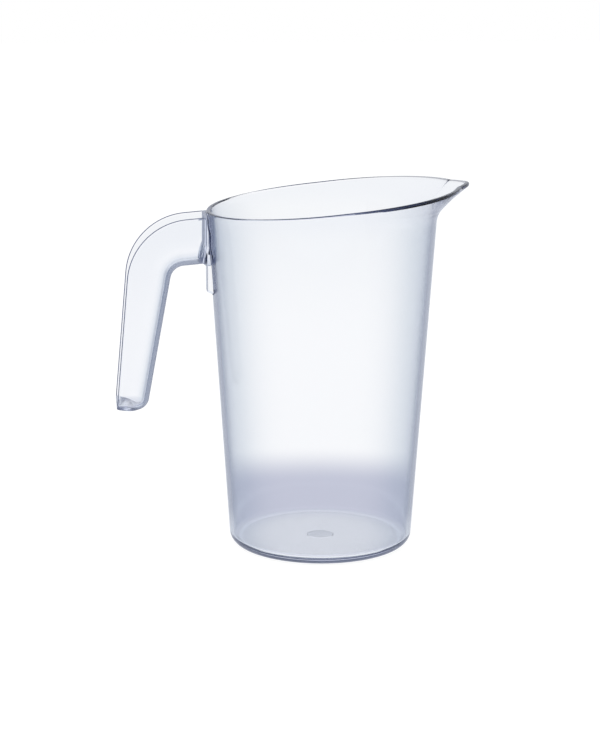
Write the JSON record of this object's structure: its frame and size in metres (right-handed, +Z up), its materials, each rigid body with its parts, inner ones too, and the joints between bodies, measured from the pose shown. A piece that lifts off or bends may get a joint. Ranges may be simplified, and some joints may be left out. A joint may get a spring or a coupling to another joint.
{
  "type": "plastic pitcher",
  "caption": "Clear tapered plastic pitcher with a sloping rim, a flared pouring lip with a nose, and an open hook handle that slides onto a rail on its back.",
  "frame": {"origin": "on the axis of the jug, on the plane that its flat underside stands on", "axes": "+Z up along the axis of the jug, +X towards the spout and -X towards the handle; the part is the same on both sides of the XZ plane"},
  "size_m": [0.1965, 0.1288, 0.204],
  "materials": {
    "clear_body": "clear, polished, with a faint blue-grey tint",
    "clear_handle": "clear, polished, with a faint blue-grey tint"
  },
  "bodies": {
    "root": {"jug_body": "clear_body", "handle": "clear_handle"}
  },
  "joints": []
}
